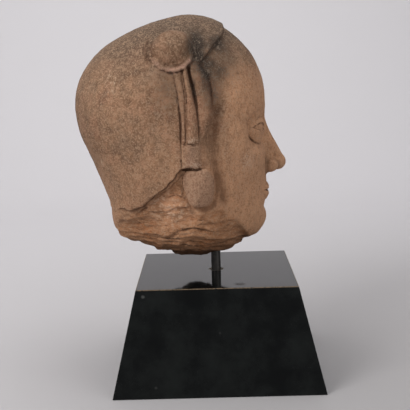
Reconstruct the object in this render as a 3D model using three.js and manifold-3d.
// A carved sandstone head with side knots of hair, on a steel rod over a black wooden plinth.
// Millimetres, +Z up. The face looks along -Y and the head's left side is +X.
// The origin is the middle of the plinth's underside, below the rod's axis.
import * as THREE from 'three';
import { mergeVertices } from 'three/addons/utils/BufferGeometryUtils.js';
import Module from 'manifold-3d';

// Plinth, a truncated pyramid of solid wood
const plinthHeight = 103;
const plinthTopWidth = 160;
const plinthBaseWidth = 209;
const plinthBevel = 0.7;

// Rod, and the sockets drilled for it
const rodDiameter = 10;
const rodInPlinth = 45;
const rodInHead = 62;
const rodChamfer = 1;
const socketClearance = 0.3;
const socketRim = 2.4;

// Head, with its lowest broken stone this far over the plinth
const headHeight = 227; // chin to crown
const headWidth = 163; // across the hair, without the knots
const headGap = 17;

// The head is carved on a canon of 100 parts from chin to crown. In the canon, s runs sideways
// from the middle, f forward from the rod's axis and u up from the chin.
const canonHeight = 100;
const canonHalfWidth = 36;
const stumpDepth = 10; // the broken neck reaches this far below the chin
const part = headHeight / canonHeight;
const partSideways = headWidth / 2 / canonHalfWidth;
const chinHeight = plinthHeight + headGap + stumpDepth * part;

const clamp = (v, low, high) => Math.min(Math.max(v, low), high);
const mix = (a, b, t) => a + (b - a) * t;

// 0 before from, 1 after to, and smooth between them; from may be the larger one.
function ease(v, from, to) {
  const t = clamp((v - from) / (to - from), 0, 1);
  return t * t * (3 - 2 * t);
}

const bump = (a, b = 0) => Math.exp(-a * a - b * b);

function smoothMin(a, b, k) {
  const h = Math.max(k - Math.abs(a - b), 0) / k;
  return Math.min(a, b) - (h * h * k) / 4;
}

const smoothMax = (a, b, k) => -smoothMin(-a, -b, k);

// A smooth line through [key, value] pairs in rising order of key, level past both ends.
function smoothLine(pairs) {
  const slope = pairs.map((p, i) => {
    const before = pairs[Math.max(i - 1, 0)];
    const after = pairs[Math.min(i + 1, pairs.length - 1)];
    return (after[1] - before[1]) / (after[0] - before[0]);
  });
  return (key) => {
    if (key <= pairs[0][0]) return pairs[0][1];
    const i = pairs.findIndex((p) => p[0] >= key);
    if (i < 0) return pairs[pairs.length - 1][1];
    const [k0, v0] = pairs[i - 1];
    const [k1, v1] = pairs[i];
    const w = k1 - k0;
    const t = (key - k0) / w;
    const t2 = t * t;
    const t3 = t2 * t;
    return (2 * t3 - 3 * t2 + 1) * v0 + (t3 - 2 * t2 + t) * w * slope[i - 1]
      + (3 * t2 - 2 * t3) * v1 + (t3 - t2) * w * slope[i];
  };
}

// The skull: its outline from the side, [f, u], and how it narrows sideways
const core = { f: -18, u: 50 };
const sideOutline = [
  [23.6, 52], [24, 61], [22.5, 72], [18, 82], [11, 90], [2.5, 95.7], [-9, 98.4], [-22.6, 96.4],
  [-37.2, 91], [-52.2, 80.6], [-59.2, 68.9], [-60.5, 60], [-58.7, 49], [-53, 34.5], [-47.4, 18.8],
  [-45.8, 6], [-42.5, 0.8], [-33, -2.8], [-23, -6.8], [-14, -8.8], [-3, -8.8], [7.5, -6.8], [12.5, -2.6],
  [19.5, 0.4], [22.3, 7], [22.6, 20], [23.2, 34],
];

const outlineReach = (() => {
  const polar = sideOutline.map(([f, u]) => {
    const angle = Math.atan2(u - core.u, f - core.f);
    return [angle < 0 ? angle + 2 * Math.PI : angle, Math.hypot(f - core.f, u - core.u)];
  }).sort((a, b) => a[0] - b[0]);
  const turn = ([angle, reach], by) => [angle + by * 2 * Math.PI, reach];
  const before = polar.slice(-2).map((p) => turn(p, -1));
  const after = polar.slice(0, 2).map((p) => turn(p, 1));
  return smoothLine([...before, ...polar, ...after]);
})();

function skull(s, f, u) {
  const df = f - core.f;
  const du = u - core.u;
  let angle = Math.atan2(du, df);
  if (angle < 0) angle += 2 * Math.PI;
  const fullness = mix(2.35, 2.1, ease(Math.sin(angle), -0.2, 0.8));
  const jaw = 0.2 * ease(f, -14, 14) * ease(u, 42, 8);
  const nape = 0.1 * ease(f, -20, -48) * ease(u, 55, 15);
  const across = Math.abs(s) / (canonHalfWidth * (1 - jaw - nape));
  const along = Math.hypot(df, du) / outlineReach(angle);
  const share = Math.pow(Math.pow(across, fullness) + Math.pow(along, fullness), 1 / fullness);
  return Math.hypot(s, df, du) * (1 - 1 / Math.max(share, 0.05));
}

// Distance to an ellipsoid, close enough near its surface.
function ellipsoid(s, f, u, rs, rf, ru) {
  const k0 = Math.hypot(s / rs, f / rf, u / ru);
  const k1 = Math.hypot(s / (rs * rs), f / (rf * rf), u / (ru * ru));
  return k1 < 1e-6 ? -Math.min(rs, rf, ru) : (k0 * (k0 - 1)) / k1;
}

// Distance to a rounded cone in the middle plane, from [f, u, radius] to [f, u, radius].
function taperedBar(s, f, u, [f0, u0, r0], [f1, u1, r1]) {
  const lf = f1 - f0;
  const lu = u1 - u0;
  const t = clamp(((f - f0) * lf + (u - u0) * lu) / (lf * lf + lu * lu), 0, 1);
  return Math.hypot(s, f - f0 - lf * t, u - u0 - lu * t) - mix(r0, r1, t);
}

// The face is a plain one on the canon's own places, the same on both sides.
const face = { eye: 50, eyeOut: 13.3, eyeHalf: 6.7, mouth: 20, mouthHalf: 10.6, chin: 6.5 };

// Sockets under arched brows, then the soft forms of cheeks, chin and upper lip, as heights.
function faceRelief(s, f, u) {
  const a = 30 * Math.atan2(s, Math.max(f + 8, 1));
  const arch = 52 + 6 * Math.pow(Math.sin(Math.PI * clamp((a + 1) / 30, 0, 1)), 0.8);
  const socket = ease(arch - u, -0.4, 4.6) * ease(u, 38, 47) * ease(a, 1.5, 7) * ease(a, 27, 19);
  const cheek = bump((a - 17) / 9, (u - 33) / 10);
  const chin = bump(a / 7.5, (u - face.chin) / 4.6);
  const chinFold = bump(a / 8, (u - 12.8) / 2.1);
  const muzzle = bump(a / 11, (u - face.mouth - 1) / 8);
  const philtrum = bump(a / 1.3) * ease(u, 23.5, 25) * ease(u, 30, 27);
  const forms = 1.4 * cheek + 1.7 * chin - chinFold + 1.7 * muzzle - 0.45 * philtrum;
  return ease(f, 2, 10) * (forms - 3.6 * socket + eye(a, u) * socket + lips(a, u));
}

// Height of an eye in its socket: a ball, half covered by an upper and a lower lid.
function eye(a, u) {
  const across = (a - face.eyeOut) / 9.6;
  const dome = Math.pow(Math.max(1 - across * across - Math.pow((u - face.eye) / 7.6, 2), 0), 0.8);
  const t = clamp((a - face.eyeOut) / face.eyeHalf, -1, 1);
  const line = face.eye - 0.3 + 0.5 * t;
  const open = 1 - t * t;
  const upper = line + 1.9 * open;
  const lower = line - 1.7 * open;
  const lids = ease(Math.min(upper - u, u - lower), 0.8, -0.7);
  const crease = bump((u - line - 4.2 * open - 0.6) / 0.9) * Math.sqrt(open);
  return 3.4 * dome + 0.85 * lids * ease(dome, 0, 0.4) - 0.5 * crease;
}

function lips(a, u) {
  const t = clamp(a / face.mouthHalf, 0, 1);
  const taper = Math.pow(1 - t * t, 0.8);
  const meet = face.mouth + 1.2 * t * t - 0.4 * bump(a / 2.4);
  const top = meet + 0.1 + taper * (3.8 - 0.6 * bump(a / 1.5));
  const bottom = meet - 0.1 - taper * 4.6;
  const q = u > meet ? (u - meet) / (top - meet) : (meet - u) / (meet - bottom);
  if (q >= 1 || t >= 1) return 0;
  const swell = Math.pow(q, 0.5) * Math.pow(1 - q, 0.8) * 2.2;
  return taper * swell * (u > meet ? 1.6 : 2) - 0.5 * (1 - ease(q, 0, 0.25)) * (1 - Math.pow(t, 6));
}

function nose(s, f, u) {
  const ridge = taperedBar(s, f, u, [20.4, 53.5, 1.9], [29.6, 33.8, 2.9]);
  const root = taperedBar(s, f, u, [17.2, 50, 3.4], [24.2, 32.6, 5]);
  const tip = ellipsoid(s, f - 29.6, u - 32.3, 3.6, 3.7, 3.3);
  const wing = ellipsoid(s - 4.2, f - 25.6, u - 31.2, 2.5, 3.8, 2.8);
  return smoothMin(smoothMin(smoothMin(ridge, root, 2.4), tip, 1.6), wing, 1);
}

// Lines seen from the side that bound the hair, its hanging locks and the band before the ear,
// as f for each height u, and the cap's lower edge, as u for each f
const lockRear = smoothLine([[35, -13.5], [45, -13.5], [55, -13.3], [63.4, -14.3], [73.3, -16], [78, -17]]);
const lockParting = smoothLine([[45, -12.4], [54, -12.1], [64.5, -11.8], [73, -12.7], [78, -13]]);
const lockFront = smoothLine([
  [34.7, -5.6], [46, -5.8], [55.7, -6.1], [65.3, -7.6], [73.9, -9.4], [78, -9.8],
]);
const bandFront = smoothLine([
  [17.3, 2.5], [25, 1], [35.8, -0.8], [46.4, -1.8], [56.8, -0.3], [66.3, -0.5], [73.8, -2.4],
  [77.9, -5.6],
]);
const hairFront = smoothLine([
  [34.7, -5.4], [44, -5], [51, -2.2], [58, -0.3], [66.3, -0.5], [73.8, -2.4], [77.9, -4.6], [81.5, -2.2],
  [85.1, 0.8], [89.4, 4.6], [92.6, 5.9],
]);
const hairBottom = smoothLine([
  [-46, 15], [-37.5, 15.8], [-32.8, 17.4], [-28.4, 20.3], [-23.2, 24.9], [-17.9, 29.8], [-14.4, 34],
  [-12.5, 34.7],
]);

const hairDepth = 1.3;
const stepWidth = 0.7; // half the width over which a carved step falls
const locksFrom = { lobe: 34.7, block: 45.3, top: 78 };

// How far the hair stands out of the skin: a plain cap that ends in a step.
function hair(f, u) {
  const fade = mix(0.35, 1, ease(f, -44, -36));
  const soft = mix(1.4, stepWidth, ease(u, 74, 82));
  const overFront = ease(hairFront(u) - f, -soft, soft);
  return overFront * Math.max(ease(u - hairBottom(f), -stepWidth, stepWidth), 1 - fade);
}

// A strip between two lines, arched like a cord.
function strip(f, rear, front) {
  const t = (f - rear) / (front - rear);
  return t <= 0 || t >= 1 ? 0 : Math.pow(4 * t * (1 - t), 1.1);
}

// Two locks that hang from the knot over a shorter block of hair, and the band in front of them.
function locks(f, u) {
  const rear = lockRear(u);
  const parting = lockParting(u);
  const front = lockFront(u);
  const above = ease(u, locksFrom.block - stepWidth, locksFrom.block + stepWidth);
  const root = ease(u, locksFrom.top + 1, locksFrom.top - 4);
  const upper = Math.max(strip(f, rear, parting) * 1.3, strip(f, parting, front) * 2.3) * above * root;
  const blockSpan = ease(u, locksFrom.lobe - 0.4, locksFrom.lobe + 1) * ease(u, 50, 46);
  const block = Math.sqrt(strip(f, rear, front)) * 1.1 * blockSpan;
  const bandSpan = ease(u, 22, 40) * ease(u, 80, 75);
  const band = strip(f, front, bandFront(u)) * mix(0.5, 1.1, ease(u, 45, 65)) * bandSpan;
  const cut = 1.4 * bump((f - front) / 1.1) * ease(u, 50, 58) * root;
  return Math.max(upper, block, band) - cut;
}

// The rounded lobe under the locks
const lobe = { f: -6.5, u: 26, across: 6.6, high: 8.9, proud: 3.2 };

function lobeHeight(f, u) {
  const across = Math.abs(f - lobe.f - 0.06 * (lobe.u - u)) / lobe.across;
  const ring = Math.pow(across, 2.7) + Math.pow(Math.abs(u - lobe.u) / lobe.high, 2.7);
  const swell = mix(1, 0.6, ease(u, 25, 34)) * mix(0.65, 1, ease(f, -13, -7));
  return lobe.proud * Math.sqrt(Math.max(1 - ring, 0)) * swell;
}

// The knot of hair on each side: a ball that leans out of the skull, and the tie round its foot
const knot = { s: 26.9, f: -16.2, u: 84.2, lean: 0.62, across: 8.7, high: 8.5, deep: 7.6 };
const tie = { f: -16.5, u: 84.5, reach: 9.6, thick: 1.2, proud: 1.7 };

function knotBall(s, f, u) {
  const ds = s - knot.s;
  const du = u - knot.u;
  const out = Math.cos(knot.lean) * ds + Math.sin(knot.lean) * du;
  const up = Math.cos(knot.lean) * du - Math.sin(knot.lean) * ds;
  return ellipsoid(out, f - knot.f, up, knot.deep, knot.across, knot.high);
}

function tieHeight(f, u) {
  const reach = Math.hypot(f - tie.f, u - tie.u);
  const low = ease(Math.atan2(tie.u - u, Math.abs(f - tie.f)), -0.1, 0.35);
  return tie.proud * bump((reach - tie.reach) / tie.thick) * low;
}

// Seen from the side, stone below this line is broken.
const breakTop = smoothLine([
  [-48, 0], [-44, 6], [-38, 12], [-30, 18], [-22, 24], [-16, 29], [-13, 24], [-10, 17], [-2, 15],
  [8, 11.5], [13, 4], [17, -2],
]);

// Scars left where flakes of stone came off, each the hollow of a large ball.
const scarCount = 150;
const scars = (() => {
  const golden = Math.PI * (3 - Math.sqrt(5));
  const share = (i, step) => (i * step) % 1;
  const list = [];
  for (let i = 0; i < scarCount; i += 1) {
    const dip = -Math.asin(mix(1, 0.5, share(i, 0.618034)));
    const dir = [Math.cos(dip) * Math.cos(i * golden), Math.cos(dip) * Math.sin(i * golden), Math.sin(dip)];
    let far = 30;
    while (skull(dir[0] * far, core.f + dir[1] * far, core.u + dir[2] * far) < 0) far += 0.5;
    const radius = mix(5, 13, share(i, 0.7548));
    const reach = far + radius - mix(0.6, 2.1, share(i, 0.5698));
    const onFace = [core.f + dir[1] * far, core.u + dir[2] * far];
    if (onFace[1] > breakTop(onFace[0]) - 2) continue;
    list.push([dir[0] * reach, core.f + dir[1] * reach, core.u + dir[2] * reach, radius]);
  }
  return list;
})();
const scarsBelow = 26;

// The break follows the stone's layers: each stands out over the one below it.
const layer = { high: 5.2, proud: 1.2 };

function layers(s, f, u) {
  const wave = 0.9 * Math.sin(0.19 * f + 0.6) + 0.7 * Math.sin(0.31 * s + 0.8);
  const rise = (u + wave + 0.5 * Math.sin(0.23 * (f - s))) / layer.high;
  const t = rise - Math.floor(rise);
  return layer.proud * ease(t, 0, 0.25) * (1 - t) * ease(breakTop(f) - 3 - u, -1, 2);
}

// The carved form: negative inside the stone. The head's right side is the one with s below 0.
function headForm(sSigned, f, u) {
  const s = Math.abs(sSigned);
  let d = skull(s, f, u);
  d -= hairDepth * hair(f, u);
  d -= locks(f, u) + lobeHeight(f, u) + tieHeight(f, u);
  const behindEar = ease(f, -44, -34) * ease(f, -8, -14) * ease(u, 4, 14);
  const underHair = ease(hairBottom(f) - u, -0.2, 1.4) * behindEar;
  const beforeBand = bump((f - bandFront(u) - 2.4) / 2.4) * ease(u, 14, 22) * ease(u, 66, 54);
  d += 1.5 * underHair + 1.8 * beforeBand;
  if (f > 0) {
    d -= faceRelief(s, f, u);
    d = smoothMin(d, nose(s, f, u), 2.4);
    d = smoothMax(d, -ellipsoid(s - 2.4, f - 27.3, u - 28.6, 1.1, 2.1, 1.1), 0.6);
  }
  d = smoothMin(d, knotBall(s, f, u), 0.8);
  if (u < scarsBelow) {
    d += 0.5 * layer.proud * ease(breakTop(f) - 3 - u, -1, 2) - layers(sSigned, f, u);
    for (const [cs, cf, cu, radius] of scars) {
      d = smoothMax(d, radius - Math.hypot(sSigned - cs, f - cf, u - cu), 0.3);
    }
  }
  return d;
}

// How carefully the facets follow the form at a point, from 1 on plain stone.
function care(s, f, u) {
  const side = Math.abs(s);
  const onFace = ease(f, 6, 12) * ease(u, 66, 60);
  const onFeatures = onFace * ease(side, 23, 20) * ease(u, 3, 8);
  const onLocks = ease(side, 12, 18) * ease(f, -20, -16) * ease(f, 6, 2) * ease(u, 13, 17);
  const onHairline = ease(Math.abs(f - hairFront(u)), 3, 1) * ease(u, 76, 80);
  const onBreak = ease(u, breakTop(f) + 3, breakTop(f));
  return 1 + onFace + 7 * onFeatures + 2 * onLocks + 2 * onHairline - 0.6 * onBreak;
}

// Moves a point onto the carved form along the form's own slope, by no more than reach.
function settle(p, rounds, reach) {
  const h = 0.05;
  const from = p.clone();
  for (let i = 0; i < rounds; i += 1) {
    const d = headForm(p.x, p.y, p.z);
    const slope = new THREE.Vector3(
      headForm(p.x + h, p.y, p.z) - d,
      headForm(p.x, p.y + h, p.z) - d,
      headForm(p.x, p.y, p.z + h) - d,
    ).divideScalar(h);
    const steepness = Math.max(slope.length(), 0.5);
    p.addScaledVector(slope, -clamp(d / steepness, -1, 1) / steepness);
  }
  const moved = p.distanceTo(from);
  if (moved > reach) p.lerpVectors(from, p, reach / moved);
  return p;
}

const axes = [0, 1, 2];

// Where a grid square has stone at two opposite corners only, the shallower gap is filled.
function fillPinches(depth, stride) {
  for (let pinched = true; pinched;) {
    pinched = false;
    for (let n = 0; n < depth.length; n += 1) {
      for (const k of axes) {
        const [a, b] = [stride[(k + 1) % 3], stride[(k + 2) % 3]];
        const corners = [n, n + a, n + a + b, n + b];
        const stone = corners.map((c) => depth[c] < 0);
        if (stone[0] === stone[1] || stone[0] !== stone[2] || stone[1] !== stone[3]) continue;
        const gaps = corners.filter((c, i) => !stone[i]);
        depth[depth[gaps[0]] < depth[gaps[1]] ? gaps[0] : gaps[1]] = -1e-3;
        pinched = true;
      }
    }
  }
}

// A net of small squares over the form: one point in each cell of a grid that its surface crosses,
// and a square round each grid edge that it crosses.
function castNet(form, low, high, cell) {
  const size = axes.map((k) => Math.ceil((high[k] - low[k]) / cell) + 1);
  const stride = [size[1] * size[2], size[2], 1];
  const place = (k, i) => low[k] + i * cell;
  const depth = new Float64Array(size[0] * stride[0]);
  for (let i = 0, n = 0; i < size[0]; i += 1) {
    for (let j = 0; j < size[1]; j += 1) {
      for (let k = 0; k < size[2]; k += 1, n += 1) depth[n] = form(place(0, i), place(1, j), place(2, k));
    }
  }
  fillPinches(depth, stride);
  const points = [];
  const pointOf = new Map();
  const pointIn = (n) => {
    if (pointOf.has(n)) return pointOf.get(n);
    const at = [Math.floor(n / stride[0]), Math.floor(n / stride[1]) % size[1], n % size[2]];
    const sum = new THREE.Vector3();
    let crossings = 0;
    for (const k of axes) {
      const [a, b] = axes.filter((other) => other !== k);
      for (let corner = 0; corner < 4; corner += 1) {
        const [i, j] = [corner & 1, corner >> 1];
        const from = n + i * stride[a] + j * stride[b];
        const [d0, d1] = [depth[from], depth[from + stride[k]]];
        if ((d0 < 0) === (d1 < 0)) continue;
        const cross = [...at];
        cross[a] += i;
        cross[b] += j;
        cross[k] += d0 / (d0 - d1);
        sum.add(new THREE.Vector3(...cross.map((c, axis) => place(axis, c))));
        crossings += 1;
      }
    }
    pointOf.set(n, points.push(sum.divideScalar(crossings)) - 1);
    return points.length - 1;
  };
  const tris = [];
  for (let n = 0; n < depth.length; n += 1) {
    for (const k of axes) {
      const next = n + stride[k];
      if (next >= depth.length || (depth[n] < 0) === (depth[next] < 0)) continue;
      const [a, b] = [stride[(k + 1) % 3], stride[(k + 2) % 3]];
      const ring = [n - a - b, n - b, n, n - a].map(pointIn);
      if (depth[n] > 0) ring.reverse();
      tris.push([ring[0], ring[1], ring[2]], [ring[0], ring[2], ring[3]]);
    }
  }
  return { points, tris };
}

// A heap of [cost, ...] entries, the cheapest on top.
class CheapestFirst {
  entries = [];

  push(entry) {
    const list = this.entries;
    let i = list.push(entry) - 1;
    while (i > 0) {
      const parent = (i - 1) >> 1;
      if (list[parent][0] <= list[i][0]) break;
      [list[parent], list[i]] = [list[i], list[parent]];
      i = parent;
    }
  }

  pop() {
    const list = this.entries;
    const top = list[0];
    const last = list.pop();
    if (list.length === 0) return top;
    list[0] = last;
    for (let i = 0; ;) {
      const left = 2 * i + 1;
      if (left >= list.length) break;
      const child = left + 1 < list.length && list[left + 1][0] < list[left][0] ? left + 1 : left;
      if (list[i][0] <= list[child][0]) break;
      [list[i], list[child]] = [list[child], list[i]];
      i = child;
    }
    return top;
  }
}

// Each point keeps the planes of its triangles as a sum of squares, so that moving it has a cost.
function planeSquares(p0, p1, p2) {
  const normal = p1.clone().sub(p0).cross(p2.clone().sub(p0));
  const area = normal.length() / 2;
  if (area < 1e-12) return new Float64Array(10);
  normal.normalize();
  const mid = p0.clone().add(p1).add(p2).divideScalar(3);
  const weight = area * care(mid.x, mid.y, mid.z);
  const [x, y, z, w] = [normal.x, normal.y, normal.z, -normal.dot(p0)];
  const squares = [x * x, x * y, x * z, x * w, y * y, y * z, y * w, z * z, z * w, w * w];
  return Float64Array.from(squares, (v) => v * weight);
}

function costAt(q, { x, y, z }) {
  return q[0] * x * x + q[4] * y * y + q[7] * z * z + q[9]
    + 2 * (q[1] * x * y + q[2] * x * z + q[3] * x + q[5] * y * z + q[6] * y + q[8] * z);
}

// The cheapest place for two joined points, held lightly to the middle between them.
function bestPlace(q, mid) {
  const hold = 1e-3 * (q[0] + q[4] + q[7]) + 1e-9;
  const matrix = new THREE.Matrix3();
  matrix.set(q[0] + hold, q[1], q[2], q[1], q[4] + hold, q[5], q[2], q[5], q[7] + hold);
  const pull = new THREE.Vector3(hold * mid.x - q[3], hold * mid.y - q[6], hold * mid.z - q[8]);
  return pull.applyMatrix3(matrix.invert());
}

// Joins neighbouring points, the cheapest pair first, until only so many triangles are left.
function simplify({ points, tris }, wanted) {
  const around = points.map(() => new Set());
  const squares = points.map(() => new Float64Array(10));
  const stamp = points.map(() => 0);
  tris.forEach((tri, t) => {
    const plane = planeSquares(...tri.map((v) => points[v]));
    for (const v of tri) {
      around[v].add(t);
      plane.forEach((value, i) => { squares[v][i] += value; });
    }
  });
  const heap = new CheapestFirst();
  const offer = (a, b) => {
    const q = squares[a].map((value, i) => value + squares[b][i]);
    const mid = points[a].clone().add(points[b]).multiplyScalar(0.5);
    const place = bestPlace(q, mid);
    const cost = costAt(q, place) + 1e-4 * points[a].distanceToSquared(points[b]);
    heap.push([cost, a, b, stamp[a], stamp[b], place, q]);
  };
  const neighbours = (v) => new Set([...around[v]].flatMap((t) => tris[t]).filter((other) => other !== v));
  points.forEach((_, a) => neighbours(a).forEach((b) => { if (a < b) offer(a, b); }));
  const facing = (corners) => new THREE.Triangle(...corners).getNormal(new THREE.Vector3());
  const folds = (v, other, place) => [...around[v]].some((t) => {
    const tri = tris[t];
    if (tri.includes(other)) return false;
    const was = facing(tri.map((i) => points[i]));
    return facing(tri.map((i) => (i === v ? place : points[i]))).dot(was) < 0.35;
  });
  let left = tris.length;
  while (left > wanted && heap.entries.length > 0) {
    const [, a, b, stampA, stampB, place, q] = heap.pop();
    if (stamp[a] !== stampA || stamp[b] !== stampB) continue;
    const ringB = neighbours(b);
    const shared = [...neighbours(a)].filter((v) => ringB.has(v));
    if (shared.length !== 2 || folds(a, b, place) || folds(b, a, place)) continue;
    for (const t of [...around[b]]) {
      if (tris[t].includes(a)) {
        tris[t].forEach((v) => around[v].delete(t));
        tris[t] = null;
        left -= 1;
      } else {
        tris[t] = tris[t].map((v) => (v === b ? a : v));
        around[a].add(t);
      }
    }
    around[b].clear();
    stamp[b] = -1;
    stamp[a] += 1;
    points[a] = place;
    squares[a] = q;
    neighbours(a).forEach((v) => offer(a, v));
  }
  return { points, tris: tris.filter((tri) => tri !== null) };
}

const netCell = 1;
const headTriangles = 8900;

function carveHead() {
  const low = [-canonHalfWidth - 5, -64, -stumpDepth - 3];
  const high = [canonHalfWidth + 5, 37, canonHeight + 3];
  const net = castNet(headForm, low, high, netCell);
  net.points.forEach((p) => settle(p, 2, netCell / 2));
  const { points, tris } = simplify(net, headTriangles);
  const inMillimetres = (p) => [p.x * partSideways, -p.y * part, p.z * part + chinHeight];
  const positions = new Float32Array(points.flatMap(inMillimetres));
  const geometry = new THREE.BufferGeometry();
  geometry.setAttribute('position', new THREE.BufferAttribute(positions, 3));
  geometry.setIndex(tris.flatMap(([a, b, c]) => [a, c, b]));
  return geometry;
}

const wasm = await Module();
wasm.setup();

function toSolid(geometry) {
  const bare = geometry.clone();
  bare.deleteAttribute('normal');
  bare.deleteAttribute('uv');
  const merged = mergeVertices(bare, 1e-4);
  return new wasm.Manifold(new wasm.Mesh({
    numProp: 3,
    vertProperties: merged.getAttribute('position').array,
    triVerts: new Uint32Array(merged.index.array),
  }));
}

function toGeometry(solid) {
  const mesh = solid.getMesh();
  const geometry = new THREE.BufferGeometry();
  geometry.setAttribute('position', new THREE.BufferAttribute(new Float32Array(mesh.vertProperties), 3));
  geometry.setIndex(new THREE.BufferAttribute(new Uint32Array(mesh.triVerts), 1));
  geometry.computeVertexNormals();
  return geometry;
}

// A turned body along +Z, from [radius, height] pairs that start and end on the axis.
function turned(profile, sides) {
  const body = new THREE.LatheGeometry(profile.map(([r, z]) => new THREE.Vector2(r, z)), sides);
  body.rotateX(Math.PI / 2);
  return body;
}

const rodSides = 32;
const rodFoot = plinthHeight - rodInPlinth;
const rodTop = plinthHeight + headGap + rodInHead;

function makeRod() {
  const r = rodDiameter / 2;
  return turned([
    [0, rodFoot], [r - rodChamfer, rodFoot], [r, rodFoot + rodChamfer],
    [r, rodTop - rodChamfer], [r - rodChamfer, rodTop], [0, rodTop],
  ], rodSides);
}

function makePlinth() {
  const widthAt = (z) => mix(plinthBaseWidth, plinthTopWidth, z / plinthHeight);
  const cornerReach = (width) => (width / 2) * Math.SQRT2;
  const block = turned([
    [0, 0],
    [cornerReach(plinthBaseWidth - 2 * plinthBevel), 0],
    [cornerReach(widthAt(plinthBevel)), plinthBevel],
    [cornerReach(widthAt(plinthHeight - plinthBevel)), plinthHeight - plinthBevel],
    [cornerReach(plinthTopWidth - 2 * plinthBevel), plinthHeight],
    [0, plinthHeight],
  ], 4);
  block.rotateZ(Math.PI / 4);
  const r = rodDiameter / 2 + socketClearance;
  const over = 5;
  const socket = turned([
    [0, rodFoot - socketClearance], [r, rodFoot - socketClearance], [r, plinthHeight - socketRim],
    [r + socketRim, plinthHeight], [r + socketRim, plinthHeight + over], [0, plinthHeight + over],
  ], rodSides);
  return toGeometry(toSolid(block).subtract(toSolid(socket)));
}

function makeHead() {
  const r = rodDiameter / 2 + socketClearance;
  const socket = turned([
    [0, plinthHeight], [r, plinthHeight], [r, rodTop + socketClearance], [0, rodTop + socketClearance],
  ], rodSides);
  return toGeometry(toSolid(carveHead()).subtract(toSolid(socket)));
}

const sandstone = new THREE.MeshStandardMaterial({ color: 0x90705a, roughness: 0.92, metalness: 0 });
const darkSteel = new THREE.MeshStandardMaterial({ color: 0x35302f, roughness: 0.45, metalness: 0.85 });
const blackLacquer = new THREE.MeshStandardMaterial({ color: 0x141616, roughness: 0.28, metalness: 0 });

const group = new THREE.Group();
const add = (name, geometry, material) => {
  const mesh = new THREE.Mesh(geometry, material);
  mesh.name = name;
  group.add(mesh);
};
add('sandstone_head', makeHead(), sandstone);
add('support_rod', makeRod(), darkSteel);
add('plinth', makePlinth(), blackLacquer);

export default group;
